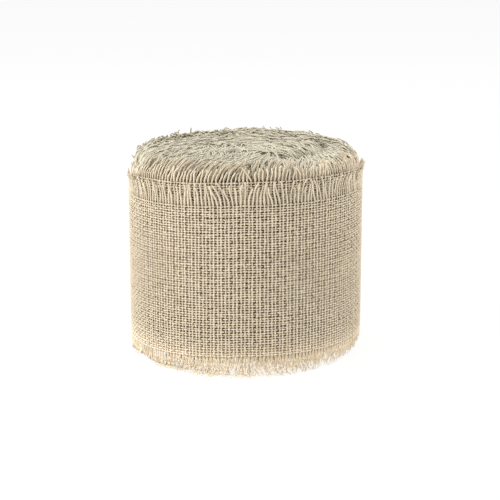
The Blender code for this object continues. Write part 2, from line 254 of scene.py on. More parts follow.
class GeometryTree(Tree):
    """A geometry tree with named inputs, which grows plain meshes along the winding."""

    TITLE = ""
    INPUTS: dict[str, str] = {}

    def __init__(self, winding: Winding) -> None:
        """Make the tree's interface and its shapes.

        Args:
            winding: the spiral that the shapes follow.
        """
        self.group = bpy.data.node_groups.new(self.TITLE, "GeometryNodeTree")
        super().__init__(self.group)
        self.winding = winding
        for title, kind in {**self.INPUTS, "Seed": "Int", "Finish": "Material"}.items():
            self.open_socket(title, "INPUT", kind)
        self.open_socket("Geometry", "OUTPUT", "Geometry")
        self.given = self.add("NodeGroupInput")
        self.close(*self.shapes())

    def shapes(self) -> list[Value]:
        """The shapes that the tree makes."""
        raise NotImplementedError

    def open_socket(self, title: str, way: str, kind: str) -> None:
        """Open an input or output of the whole tree."""
        self.group.interface.new_socket(title, in_out=way, socket_type=f"NodeSocket{kind}")

    def random(self, strand: Value, draw: int) -> Value:
        """A number from -1 to 1 for each yarn, the same in every tree with that draw and seed."""
        inputs = {"Min": -1.0, "Max": 1.0, "ID": strand, "Seed": self.given["Seed"] + draw}
        return self.add("FunctionNodeRandomValue", {"data_type": "FLOAT"}, inputs)["Value"]

    def step(self, kind: str, geometry: Value, settings: dict | None = None, **inputs: Any) -> Value:
        """Geometry that has passed through a node of that kind."""
        return self.add(f"GeometryNode{kind}", settings, {"Geometry": geometry, **inputs})["Geometry"]

    def store(self, geometry: Value, name: str, kind: str, value: Value) -> Value:
        """Keep a value on the mesh under a name that materials can read."""
        settings = {"data_type": kind, "domain": "POINT"}
        return self.step("StoreNamedAttribute", geometry, settings, Name=name, Value=value)

    def tubes(self, first: Number, count: Number, sides: Number, segments: Number) -> tuple[Value, Value]:
        """Many unit tubes on one spot, numbered from first.

        Args:
            first: number of the first tube.
            count: how many tubes.
            sides: sides of each tube.
            segments: lengths that each tube is divided into.

        Returns:
            The tubes, and the number of the tube that a point belongs to.
        """
        points = self.add("GeometryNodePoints", None, {"Count": count})["Points"]
        number = self.add("GeometryNodeInputIndex")["Index"] + first
        points = self.store(points, STRAND, "FLOAT", number)
        tube = self.add(
            "GeometryNodeMeshCylinder",
            {"fill_type": "NGON"},
            {"Vertices": sides, "Side Segments": segments, "Radius": 1.0, "Depth": 1.0},
        )["Mesh"]
        placed = self.add("GeometryNodeInstanceOnPoints", None, {"Points": points, "Instance": tube})
        solid = self.step("RealizeInstances", placed["Instances"])
        strand = self.add("GeometryNodeInputNamedAttribute", {"data_type": "FLOAT"}, {"Name": STRAND})
        return solid, strand["Attribute"]

    def tube_place(self) -> tuple[Value, Value, Value]:
        """Where a point lies on its unit tube: two parts across it, and the share along it."""
        across, through, along = self.parts(self.add("GeometryNodeInputPosition")["Position"])
        return across, through, along + 0.5

    def lay(self, geometry: Value, *where: Number) -> Value:
        """Move every point to its place beside the ribbon's middle."""
        return self.step("SetPosition", geometry, Position=self.winding.point(self, *where))

    def close(self, *shapes: Value) -> None:
        """Join the shapes, smooth and dress them, and end the tree.

        Args:
            shapes: the meshes.
        """
        joined = self.nodes.nodes.new("GeometryNodeJoinGeometry")
        for shape in shapes:
            self.fill(joined.inputs[0], shape)
        smooth = self.step("SetShadeSmooth", Value(self, joined.outputs[0]))
        solid = self.step("RealizeInstances", smooth)
        dressed = self.step("SetMaterial", solid, Material=self.given["Finish"])
        self.add("NodeGroupOutput", None, {"Geometry": dressed})

    def grow(self, name: str, finish: Material, sizes: dict[str, Any]) -> Piece:
        """Run the tree once and keep the result as a plain mesh.

        Args:
            name: the piece's name.
            finish: its material.
            sizes: the value of each named input.

        Returns:
            The piece, with no modifier left on it.
        """
        piece = bpy.data.objects.new(name, bpy.data.meshes.new(name))
        modifier = piece.modifiers.new("Grow", "NODES")
        modifier.node_group = self.group
        values = {"Seed": YARN_SEED, **sizes, "Finish": finish}
        for item in self.group.interface.items_tree:
            if item.in_out == "INPUT":
                modifier[item.identifier] = values[item.name]
        bpy.context.scene.collection.objects.link(piece)
        depsgraph = bpy.context.evaluated_depsgraph_get()
        mesh = bpy.data.meshes.new_from_object(piece.evaluated_get(depsgraph), depsgraph=depsgraph)
        piece.modifiers.remove(modifier)
        piece.data = mesh
        mesh.name = name
        LOG.info("%s has %d faces", name, len(mesh.polygons))
        return piece


@dataclass(frozen=True)
class Winding:
    """How the ribbon winds: one flat spiral whose turns are counted from the core.

    The spans of turns are counted back from the last one; the other spans are sines and
    cosines of the angle about the axis.
    """

    STEP_TURNS = (1.0 + 105.0 / 360.0, 1.0 + 15.0 / 360.0)
    DROOP_TURNS = (4.0, 1.9)
    PACKED_TURNS = (6.5, 2.2)
    SECOND_TURNS = (2.2, 1.95)
    FRONT = (0.0, 0.7)
    BACK = (0.25, 0.75)
    PARTING_ENDS = (0.55, 0.85)

    first_radius: float
    pitch: float
    seam_angle: float
    web_low: float
    web_high: float
    turns: int = 24
    pack_lift: float = 0.0073
    dish_depth: float = 0.0022
    parting_depth: float = 0.0010
    parting_drop: float = 0.0020
    parting_radius: float = 0.0270
    parting_drift: float = 0.0045
    parting_angle: float = math.radians(-27.0)
    parting_inside: float = 0.0012
    parting_outside: float = 0.0028
    parting_slope: float = 0.0025
    droop: float = 0.0022
    droop_eased: float = 0.75
    rim_depth: float = 0.0014
    side_depth: float = 0.0013
    yarn_pitch: float = 0.001255
    rows: int = 61

    @classmethod
    def from_frame(cls, frame: dict) -> Winding:
        """Read the spiral from the hinges of the free end and the heights of its links.


        Returns:
            The winding.
        """
        hinges = [Vector(joint["pos_m"][:2]) for joint in frame["joints"]]
        angles = [math.atan2(hinge.y, hinge.x) for hinge in (hinges[0], hinges[-1])]
        radii = [hinges[0].length, hinges[-1].length]
        pitch = (radii[1] - radii[0]) / ((angles[1] - angles[0]) / FULL_TURN)
        tail_start = cls.turns - TAIL_SHARE
        web_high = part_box("tail_link_1")[1].z - FRINGE_LENGTH
        return cls(
            first_radius=radii[0] - pitch * tail_start,
            pitch=pitch,
            seam_angle=angles[0] + TAIL_SHARE * FULL_TURN,
            web_low=web_high - WEB_WIDTH,
            web_high=web_high,
        )

    @property
    def row_pitch(self) -> float:
        """Distance between the yarns that run along the ribbon."""
        return (self.web_high - self.web_low) / self.rows

    def radius(self, turn: Number) -> Number:
        """Radius of the ribbon's middle."""
        return turn * self.pitch + self.first_radius

    def angle(self, turn: Number) -> Number:
        """Angle about the axis at a turn."""
        return turn * FULL_TURN + self.seam_angle

    def arc(self, turn: Number) -> Number:
        """Length of ribbon from the core to a turn."""
        return turn * (turn * (self.pitch / 2) + self.first_radius) * FULL_TURN

    def turn(self, arc: Number) -> Number:
        """Turn that lies that length of ribbon from the core."""
        squared = arc * (self.pitch / math.pi) + self.first_radius**2
        return (squared**0.5 - self.first_radius) / self.pitch

    def yarn(self, turn: float) -> int:
        """Number of the yarn that lies nearest a turn."""
        return round(self.arc(turn) / self.yarn_pitch)

    def middle(self) -> float:
        """Height of the middle of the web on the outermost turn."""
        return (self.web_low + self.web_high) / 2

    def half_width(self) -> float:
        """Half the width of the web."""
        return (self.web_high - self.web_low) / 2

    def counted_back(self, turn: Value, span: Span) -> Value:
        """A gentle step over a span of turns that is counted back from the last one."""
        return turn.smooth(self.turns - span[0], self.turns - span[1])

    def parting(self, turn: Value) -> tuple[Value, Value]:
        """The arc on the roll's right where the fringe parts.

        Args:
            turn: the turn that a point belongs to.

        Returns:
            How open the fringe lies there, and how low it is outside the arc.
        """
        beside = turn * FULL_TURN + (self.seam_angle - self.parting_angle)
        middle = beside.sin() * self.parting_drift + self.parting_radius
        across = self.radius(turn) - middle
        near = 1.0 - (across * across).smooth(self.parting_inside**2, self.parting_outside**2)
        along = beside.cos().smooth(*self.PARTING_ENDS)
        return near * along, across.smooth(0.0, self.parting_slope) * along

    def lift(self, turn: Value) -> Value:
        """How much higher the web runs than on the outermost turn.

        Args:
            turn: the turn that a point belongs to.

        Returns:
            The height above the outermost turn's.
        """
        radius = self.radius(turn)
        dish = (1.0 - radius / self.radius(self.turns)) ** 2.0 * self.dish_depth
        angle = self.angle(turn)
        opened, lowered = self.parting(turn)
        groove = opened * self.parting_depth
        stepped = self.counted_back(turn, self.STEP_TURNS)
        left = angle.cos() * -1.0
        eased = 1.0 - angle.sin().smooth(*self.BACK) * self.droop_eased
        droop = left.at_least(0.0) * self.counted_back(turn, self.DROOP_TURNS) * eased * self.droop
        second = self.counted_back(turn, self.SECOND_TURNS)
        front = (angle.sin() * -1.0).smooth(*self.FRONT)
        packed = self.counted_back(turn, self.PACKED_TURNS) * (1.0 - second)
        rim = (packed * self.rim_depth + second * self.side_depth) * (1.0 - front)
        rim = rim.at_least(lowered * (1.0 - second) * self.parting_drop)
        return (self.pack_lift - dish - groove - rim) * (1.0 - stepped) - droop

    def point(self, tree: Tree, turn: Value, radial: Number, sideways: Number, height: Value) -> Value:
        """A point beside the ribbon's middle.

        Args:
            tree: the tree that the point is worked out in.
            turn: the turn that it belongs to.
            radial: how far it lies outside the ribbon's middle.
            sideways: how far it lies on along the winding.
            height: its height.

        Returns:
            The point as a vector.
        """
        angle = self.angle(turn)
        out = self.radius(turn) + radial
        x = out * angle.cos() - angle.sin() * sideways
        y = out * angle.sin() + angle.cos() * sideways
        return tree.vector(x, y, height)


@dataclass(frozen=True)
class YarnSizes:
    """Half sizes of a yarn across and through the cloth, how far it weaves in and out, and
    how far every second yarn lies nearer to the one before it."""

    half_width: float
    half_depth: float
    wave: float
    pairing: float


WEFT = YarnSizes(half_width=0.00031, half_depth=0.00021, wave=0.00020, pairing=0.00010)
WARP = YarnSizes(half_width=0.00025, half_depth=0.00019, wave=0.00019, pairing=0.00005)


class WeaveTree(GeometryTree):
    """Plain weave: yarns across the ribbon, and yarns along it that pass over and under them."""

    TITLE = "Plain weave"
    INPUTS = dict.fromkeys(("First yarn", "Yarns", "First row", "Rows"), "Int")
    SIDES = 6
    STEPS = 2.0
    JITTER = 0.00003
    WANDER = 0.00021
    WANDER_GRAIN = Grain(3.17, 330.0, layer=5.0)
    SWELL = 0.60
    SWELL_GRAIN = Grain(7.31, 480.0, detail=1.0)
    OWN_SWELL = 0.06
    PAIRED_BY = 0.8
    PAIRED_FROM = 0.7
    PAIRED_GRAIN = Grain(0.13, 85.0, layer=9.0)
    # How far from the cloth's middle the painted shade of the hollows reaches
    FACE = 0.00030

    def shapes(self) -> list[Value]:
        """The yarns of both directions."""
        return [self.across_yarns(), self.along_yarns()]

    def irregular(self, strand: Value, along: Value, sizes: YarnSizes, draw: int) -> tuple[Value, Value]:
        """A yarn's swelling and its wandering, both changing along it.

        Args:
            strand: the yarn's number.
            along: how far along it the point lies.
            sizes: the sizes of its kind of yarn.
            draw: its first random number, which sets the two directions apart.

        Returns:
            A factor for its width, and a distance to one side.
        """
        swelling = self.grain(self.SWELL_GRAIN, strand, along, draw) * self.SWELL
        swell = swelling + self.random(strand, draw) * self.OWN_SWELL + 1.0
        patch = self.grain(self.PAIRED_GRAIN, strand, along, draw) * self.PAIRED_BY + self.PAIRED_FROM
        paired = (strand * math.pi).cos() * patch * sizes.pairing
        wandering = self.grain(self.WANDER_GRAIN, strand, along, draw) * self.WANDER
        wander = wandering + self.random(strand, draw + 1) * self.JITTER + paired
        return swell, wander

    def keep(self, solid: Value, section: Value, radial: Value) -> Value:
        """Keep on the yarns what their finish reads.

        Args:
            solid: the yarns.
            section: where a point lies in its yarn.
            radial: how far it lies outside the ribbon's middle.

        Returns:
            The yarns, with the section and how near a point is to a face of the cloth, for painted shade.
        """
        kept = self.store(solid, SECTION, "FLOAT_VECTOR", section)
        # Painted shade where a yarn dips towards the cloth's middle
        near = self.math("ABSOLUTE", radial).smooth(0.0, self.FACE)
        return self.store(kept, UNSHADED, "FLOAT", near)

    def across_yarns(self) -> Value:
        """The thick yarns across the ribbon, which end in the fringe.

        Returns:
            Their mesh.
        """
        low, rows = self.given["First row"], self.given["Rows"]
        first, yarns = self.given["First yarn"], self.given["Yarns"]
        solid, strand = self.tubes(first, yarns, self.SIDES, rows * self.STEPS)
        across, through, share = self.tube_place()
        height = (low + share * rows) * self.winding.row_pitch
        swell, wander = self.irregular(strand, height, WEFT, Draw.ACROSS_WIDTH)
        arc = (strand + 0.5) * self.winding.yarn_pitch
        turn = self.winding.turn(arc)
        wave = ((low + share * rows + strand) * math.pi).sin() * WEFT.wave
        radial = wave - through * swell * WEFT.half_depth
        sideways = across * swell * WEFT.half_width + wander
        level = height + self.winding.web_low + self.winding.lift(turn)
        kept = self.keep(solid, self.vector(across, through, height), radial)
        return self.lay(kept, turn, radial, sideways, level)

    def along_yarns(self) -> Value:
        """The thinner yarns along the ribbon.

        Returns:
            Their mesh.
        """
        yarns, first_row = self.given["Yarns"], self.given["First row"]
        solid, strand = self.tubes(first_row, self.given["Rows"], self.SIDES, yarns * self.STEPS)
        across, through, share = self.tube_place()
        column = self.given["First yarn"] + share * yarns
        arc = column * self.winding.yarn_pitch
        turn = self.winding.turn(arc)
        swell, wander = self.irregular(strand, arc, WARP, Draw.ALONG_WIDTH)
        radial = ((column + strand) * math.pi).sin() * -WARP.wave + through * swell * WARP.half_depth
        row_height = (strand + 0.5) * self.winding.row_pitch + wander
        yarn_height = across * swell * WARP.half_width + row_height
        level = yarn_height + self.winding.web_low + self.winding.lift(turn)
        kept = self.keep(solid, self.vector(across, through, arc), radial)
        return self.lay(kept, turn, radial, 0.0, level)


class GroundTree(GeometryTree):
    """The thin ground of the cloth between its two faces, a sheet whose dark finish is painted shade."""

    TITLE = "Cloth ground"
    INPUTS = dict.fromkeys(("First yarn", "Yarns", "Divisions"), "Int")
    HALF_DEPTH = 0.00005
    SIDES = 4

    def shapes(self) -> list[Value]:
        """One flat tube along the ribbon.

        Returns:
            Its mesh.
        """
        winding = self.winding
        solid = self.tubes(0, 1, self.SIDES, self.given["Divisions"])[0]
        across, through, share = self.tube_place()
        arc = (self.given["First yarn"] + share * self.given["Yarns"]) * winding.yarn_pitch
        turn = winding.turn(arc)
        upper = self.math("SIGN", across + through)
        outer = self.math("SIGN", through - across)
        level = upper * winding.half_width() + winding.middle() + winding.lift(turn)
        return [self.lay(solid, turn, outer * self.HALF_DEPTH, 0.0, level)]


class Edge(Enum):
    """The two edges that the ribbon is frayed along."""

    TOP = 1.0
    FOOT = -1.0


class Loose(Enum):
    """Where loose ends lie, which sets their finish; one finish is painted shade, one painted light."""

    PLAIN = "loose_linen_yarn"
    MATTED = "matted_linen_yarn"
    # A darker copy of the loose yarn, as painted shade
    SHADED = "shaded_linen_yarn"
    # Linen yarn made lighter as painted bounce light
    FOOT = "foot_linen_yarn"


@dataclass(frozen=True)
class FringeStyle:
    """How the loose ends of the yarns lie along one stretch of the ribbon."""

    length: float
    bend: float
    comb: float
    lean: float
    wave: float
    length_spread: float = 0.18
    bend_spread: float = 0.35
    comb_spread: float = 0.6
    half_width: float = 0.0004
    tip: float = 0.55
    flat_reach: float = 1.0
    core_growth: float = 0.0
    wild_share: float = 0.0
    front_splay: float = 0.0
    trim: float = 0.0
    plies: int = 1
    sides: int = 5
    segments: int = 9
    finish: Loose = Loose.PLAIN

    @classmethod
    def titles(cls) -> dict[str, str]:
        """The title of the fringe tree's input for each field but the finish."""
        names = [field.name for field in fields(cls) if field.name != "finish"]
        return {name: name.replace("_", " ").capitalize() for name in names}

    def inputs(self) -> dict[str, Any]:
        """The style as inputs of the fringe tree."""
        return {title: getattr(self, name) for name, title in self.titles().items()}


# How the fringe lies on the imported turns: the mat, the three parts of the third row, and below
MAT = FringeStyle(
    length=FRINGE_LENGTH, bend=1.6, comb=0.4, lean=0.25, wave=0.0005, length_spread=0.22,
    bend_spread=0.24, comb_spread=0.9, half_width=0.00044, flat_reach=1.5, core_growth=3.6,
    wild_share=0.012, plies=2, sides=4, segments=6, finish=Loose.MATTED,
)
THIRD_ROW = FringeStyle(
    length=FRINGE_LENGTH * 1.02, bend=1.6, comb=0.35, lean=0.4, wave=0.0004, length_spread=0.3,
    comb_spread=0.8, tip=0.75, front_splay=-0.5, wild_share=0.03, finish=Loose.MATTED,
)
THIRD_ROW_PARTS = (
    replace(THIRD_ROW, wild_share=0.0),
    # The front part, in painted shade
    replace(THIRD_ROW, lean=0.65, bend_spread=0.5, finish=Loose.SHADED),
    THIRD_ROW,
)
PACKED_FOOT = FringeStyle(
    length=FRINGE_LENGTH * 1.5, bend=0.4, comb=0.0, lean=0.35, wave=0.0003, sides=4, segments=4,
    finish=Loose.FOOT,
)

# How it lies on the second turn and on the outermost one, above and below
Edges = tuple[FringeStyle, FringeStyle]
SECOND_EDGES: Edges = (
    FringeStyle(
        length=FRINGE_LENGTH * 0.64, bend=1.3, comb=0.3, lean=0.42, wave=0.0003, length_spread=0.24,
        bend_spread=0.4, half_width=0.00034, tip=0.85, front_splay=-0.7, wild_share=0.02,
    ),
    FringeStyle(
        length=FRINGE_LENGTH * 1.8, bend=0.4, comb=0.0, lean=0.3, wave=0.0004, half_width=0.00026,
        plies=3, sides=4, segments=5, finish=Loose.FOOT,
    ),
)
OUTER_EDGES: Edges = (
    FringeStyle(
        length=FRINGE_LENGTH, bend=0.35, comb=math.pi, lean=0.42, wave=0.0003, bend_spread=0.25,
        half_width=0.00036, tip=0.8,
    ),
    FringeStyle(
        length=FRINGE_LENGTH * 1.35, bend=-0.8, comb=math.pi, lean=0.38, wave=0.0012,
        length_spread=0.3, bend_spread=0.5, half_width=0.00018, front_splay=2.6, trim=0.55,
        plies=7, sides=4, segments=7, finish=Loose.FOOT,
    ),
)


class FringeTree(GeometryTree):
    """The loose yarn ends along one edge: each bends over, is combed aside and tapers."""

    TITLE = "Frayed edge"
    WHOLE = ("First yarn", "Yarns", "Plies", "Sides", "Segments")
    INPUTS = {
        **dict.fromkeys(("Upward", *FringeStyle.titles().values()), "Float"),
        **dict.fromkeys(WHOLE, "Int"),
    }
    FLATNESS = 0.8
    GATHER = 0.4
    FLOOR = 0.0001
    NOISE_HEIGHT = 0.05
    TUFT_SCALE = 140.0
    OTHER_TUFT_SCALE = TUFT_SCALE * 0.6
    CLUMP_SCALE = 76.0
    TUFT_BEND = 1.3
    OWN_BEND = 0.6
    WILD_STRAIGHTER = 0.55
    TUFT_ASIDE = 1.6
    OWN_ASIDE = 0.5
    MOST_ASIDE = 0.5
    CLUMP_LEAN = 1.9
    OWN_LEAN = 0.22
    WILD_LEAN = 1.4
    LEAN_POWER = 1.4
    LUMPS = 0.3
    LUMP_GRAIN = Grain(4.7, 3.5, layer=2.0)
    OWN_WIDTH = 0.15
    WAVE_TURN = 5.5
    OWN_WAVE_START = 3.0
    ROOT_SHADE = (-0.75, 0.4)
    CORE_TURNS = 9.0
    PARTED = 0.5
    TRIM_ANGLE = math.radians(8.0)
    NEARLY_WHOLE = 0.001

    def shapes(self) -> list[Value]:
        """The loose ends, each a bent tube.

        Returns:
            Their mesh.
        """
        winding, given = self.winding, self.given
        upward, plies = given["Upward"], given["Plies"]
        first, count = given["First yarn"] * plies, given["Yarns"] * plies
        solid, strand = self.tubes(first, count, given["Sides"], given["Segments"])
        across, through, share = self.tube_place()

        # Where each ply is rooted, and the noise there
        yarn = self.math("FLOOR", strand / plies + self.NEARLY_WHOLE)
        apart = ((strand + 0.5) / plies - yarn - 0.5) * (share * (1.0 - self.GATHER) + self.GATHER)
        turn = winding.turn((yarn + apart + 0.5) * winding.yarn_pitch)
        angle = winding.angle(turn)
        root = winding.point(self, turn, 0.0, 0.0, upward * self.NOISE_HEIGHT)
        tuft = self.noise(root, self.TUFT_SCALE)
        other_tuft = self.noise(root, self.OTHER_TUFT_SCALE)
        clump = self.noise(root, self.CLUMP_SCALE)
        core = 1.0 - turn.smooth(0.0, self.CORE_TURNS)
        wild = self.math("LESS_THAN", self.random(strand, Draw.WILD) * 0.5 + 0.5, given["Wild share"])

        # How long it is, how far it bends over and how far it is combed aside
        trim = 1.0 - (angle + self.TRIM_ANGLE).cos().at_least(0.0) * given["Trim"]
        kept_share = trim * (1.0 - winding.parting(turn)[0] * self.PARTED)
        own_length = self.random(strand, Draw.LENGTH) * given["Length spread"] + 1.0
        length = given["Length"] * kept_share * own_length
        bent = tuft * self.TUFT_BEND + self.random(strand, Draw.BEND) * self.OWN_BEND
        front = (angle.sin() * -1.0).at_least(0.0) ** 2.0
        bend = given["Bend"] + given["Bend spread"] * bent + front * given["Front splay"]
        turned = bend * (1.0 - wild * self.WILD_STRAIGHTER) * share**2.0
        moved = other_tuft * self.TUFT_ASIDE + self.random(strand, Draw.ASIDE) * self.OWN_ASIDE
        aside = (given["Comb spread"] * moved).at_most(self.MOST_ASIDE)
        comb = given["Comb"] * (1.0 - core) + aside

        # How thick it is, and how it waves and leans
        lumps = self.grain(self.LUMP_GRAIN, strand, share) * self.LUMPS
        lumps = lumps + self.random(strand, Draw.WIDTH) * self.OWN_WIDTH + 1.0
        half = given["Half width"] * lumps * (1.0 - (1.0 - given["Tip"]) * share)
        depth = half * through * self.FLATNESS
        wave_angle = share * self.WAVE_TURN + self.random(strand, Draw.WAVE) * self.OWN_WAVE_START
        waving = given["Wave"] * share * wave_angle.sin()
        own_lean = self.random(strand, Draw.LEAN) * (wild * self.WILD_LEAN + self.OWN_LEAN)
        leaning = given["Lean"] * (clump * self.CLUMP_LEAN + own_lean) * length * share**self.LEAN_POWER
        side = half * across + waving + leaning

        # Rise and reach of a line that turns with the square of its length, as series of the angle
        squared = turned * turned
        rise = length * share * (1.0 - squared / 10.0 + squared * squared / 216.0)
        flat = length * (core * given["Core growth"] + given["Flat reach"])
        reach = flat * share * turned * (1.0 / 3.0 - squared / 42.0) + depth * turned.cos()
        radial = side * comb.sin() - reach * comb.cos()
        wander = self.random(strand, Draw.ACROSS_PLACE) * WeaveTree.JITTER
        sideways = reach * comb.sin() + side * comb.cos() + wander
        edge = upward * winding.half_width() + winding.middle()
        spine = (edge + winding.lift(turn) + upward * rise).at_least(half + self.FLOOR)
        level = spine - upward * depth * turned.sin()

        # What its finish reads, with painted shade at the roots, and its place
        section = self.vector(across, through, length * share)
        kept = self.store(solid, SECTION, "FLOAT_VECTOR", section)
        kept = self.store(kept, SHARE, "FLOAT", share)
        kept = self.store(kept, UNSHADED, "FLOAT", share.smooth(*self.ROOT_SHADE))
        placed = self.lay(kept, turn, radial, sideways, level)
        inputs = {"Mesh": placed, "Selection": self.math("LESS_THAN", upward, 0.0)}
        return [self.add("GeometryNodeFlipFaces", None, inputs)["Mesh"]]


class ShaderTree(Tree):
    """A material's tree, with its Principled shader."""

    def __init__(self, name: str) -> None:
        """Make a material with nodes.

        Args:
            name: the material's name.
        """
        self.material = bpy.data.materials.new(name)
        self.material.use_nodes = True
        super().__init__(self.material.node_tree)
        self.shader = self.nodes.nodes["Principled BSDF"]

    def attribute(self, name: str) -> dict[str, Value]:
        """A value that the mesh keeps under that name."""
        return self.add("ShaderNodeAttribute", {"attribute_name": name})

    def place(self) -> Value:
        """Where a point lies on its object."""
        return self.add("ShaderNodeTexCoord")["Object"]

    def set(self, values: dict[str, Any]) -> None:
        """Set or link sockets of the shader, by name."""
        for name, value in values.items():
            self.fill(self.shader.inputs[name], value)

    def bump(self, height: Value, strength: float, distance: float) -> None:
        """Let a height shape the surface's normal."""
        inputs = {"Height": height, "Strength": strength, "Distance": distance}
        self.set({"Normal": self.add("ShaderNodeBump", None, inputs)["Normal"]})


@dataclass(frozen=True)
class YarnFinish:
    """Undyed linen yarn: uneven in tone, with dark flecks and a visible twist.
    Its colour also holds painted shade in hollows and at roots, and painted bounce light near the floor.
    """

    SURFACE = {
        "Roughness": 0.93,
        "Specular IOR Level": 0.1,
        "Sheen Weight": 0.28,
        "Sheen Tint": (0.93, 0.86, 0.70, 1.0),
        "Sheen Roughness": 0.6,
    }
    STREAK_GRAIN = Grain(5.3, 260.0, detail=2.0)
    STREAKS = 0.45
    OWN_TONE = 0.4
    LEAST_TONE = 0.3
    FLECK_GRAIN = Grain(9.7, 420.0, layer=3.0, detail=1.0)
    FLECK_SPAN = (0.42, 0.72)
    FLECKS = 0.45
    PLIES = 2.0
    FIBRES = 900.0
    ROUGHENING = 0.6
    RELIEF_DEPTH = 0.00012

    name: str
    pale: Colour = (0.67, 0.582, 0.443)
    mid: Colour = (0.53, 0.453, 0.333)
    fleck: Colour = (0.25, 0.17, 0.10)
    tip: Colour = (0.70, 0.61, 0.47)
    # Painted shade in the hollows of the weave and at the roots of the fringe
    hollow: Colour = (0.17, 0.11, 0.055)
    tip_share: float = 0.5
    # The greatest share of that painted shade
    hollow_share: float = 0.55
    # Painted bounce light near the floor: its colour, its share and the height it reaches
    glow: Colour = (0.86, 0.735, 0.56)
    glow_share: float = 0.0
    glow_height: float = 0.012
    twist_length: float = 0.0016
    relief: float = 0.55

    def make(self) -> Material:
        """Work out the colours and the relief.

        Returns:
            The material.
        """
        tree = ShaderTree(self.name)
        strand = tree.attribute(STRAND)["Fac"]
        across, through, along = tree.parts(tree.attribute(SECTION)["Vector"])
        own = tree.add("ShaderNodeTexWhiteNoise", {"noise_dimensions": "1D"}, {"W": strand})["Value"]
        streak = tree.grain(self.STREAK_GRAIN, strand, along)
        tone = (own * self.OWN_TONE + streak * self.STREAKS + self.LEAST_TONE).smooth(0.0, 1.0)
        flecked = tree.grain(self.FLECK_GRAIN, strand, along).smooth(*self.FLECK_SPAN)
        body = tree.mix(tone, self.mid, self.pale)
        speckled = tree.mix(flecked * self.FLECKS, body, self.fleck)
        tipped = tree.mix(tree.attribute(SHARE)["Fac"] * self.tip_share, speckled, self.tip)
        # Painted shade in the hollows and at the roots
        hollow = (1.0 - tree.attribute(UNSHADED)["Fac"]) * self.hollow_share
        shaded = tree.mix(hollow, tipped, self.hollow)
        # Painted bounce light, stronger towards the floor
        painted_bounce = tree.parts(tree.place())[2].smooth(self.glow_height, 0.0) * self.glow_share
        tree.set({"Base Color": tree.mix(painted_bounce, shaded, self.glow), **self.SURFACE})
        angle = tree.math("ARCTAN2", through, across) * self.PLIES
        twist = (angle + along * (FULL_TURN / self.twist_length)).sin()
        fibre = tree.noise(tree.vector(angle, along * self.FIBRES, strand), detail=2.0)
        rough = twist * self.ROUGHENING + fibre * self.ROUGHENING
        tree.bump(rough, self.relief, self.RELIEF_DEPTH)
        return tree.material


LOOSE_FINISHES = {
    Loose.PLAIN: YarnFinish(
        Loose.PLAIN.value, pale=(0.65, 0.56, 0.425), mid=(0.49, 0.415, 0.30), tip=(0.62, 0.545, 0.415),
    ),
    Loose.MATTED: YarnFinish(
        Loose.MATTED.value, pale=(0.50, 0.46, 0.358), mid=(0.45, 0.41, 0.318),
        tip=(0.475, 0.445, 0.356), hollow_share=0.05, relief=0.25,
    ),
    # Painted shade: a darker copy of the loose yarn
    Loose.SHADED: YarnFinish(
        Loose.SHADED.value, pale=(0.51, 0.42, 0.30), mid=(0.38, 0.30, 0.20), tip=(0.52, 0.45, 0.335),
        hollow_share=0.5,
    ),
    # Painted light: the loose yarn made lighter for the foot, most at the tips
    Loose.FOOT: YarnFinish(
        Loose.FOOT.value, pale=(0.76, 0.635, 0.46), mid=(0.54, 0.435, 0.30), tip=(0.90, 0.78, 0.59),
        tip_share=0.9, hollow_share=0.3,
    ),
}


@dataclass(frozen=True)
class GroundFinish:
    """Painted shade: the dark depth of the cloth, as it shows in the holes of the weave.
    Near the floor it turns lighter as painted bounce light.
    """

    SURFACE = {"Roughness": 0.95, "Specular IOR Level": 0.0}
    CLOUD_SCALE = 450.0
    CLOUD_SPAN = (-0.6, 0.6)
    # Share of painted bounce light near the floor
    GLOW_SHARE = 0.8
    GRIT_SCALE = 1400.0
    RELIEF = 0.5
    RELIEF_DEPTH = 0.0002

    name: str
    dark: Colour = (0.035, 0.021, 0.009)
    light: Colour = (0.08, 0.05, 0.023)
    # Painted bounce light near the floor: its colour and the height it reaches
    glow: Colour = (0.42, 0.30, 0.19)
    glow_height: float = 0.012

    def make(self) -> Material:
        """Work out the colours and the relief.

        Returns:
            The material.
        """
        tree = ShaderTree(self.name)
        place = tree.place()
        cloudy = tree.noise(place, self.CLOUD_SCALE, detail=2.0)
        clouded = tree.mix(cloudy.smooth(*self.CLOUD_SPAN), self.dark, self.light)
        # Painted bounce light, stronger towards the floor
        painted_bounce = tree.parts(place)[2].smooth(self.glow_height, self.glow_height / 3) * self.GLOW_SHARE
        tree.set({"Base Color": tree.mix(painted_bounce, clouded, self.glow), **self.SURFACE})
        grit = tree.noise(place, self.GRIT_SCALE, detail=1.0)
        tree.bump(grit, self.RELIEF, self.RELIEF_DEPTH)
        return tree.material


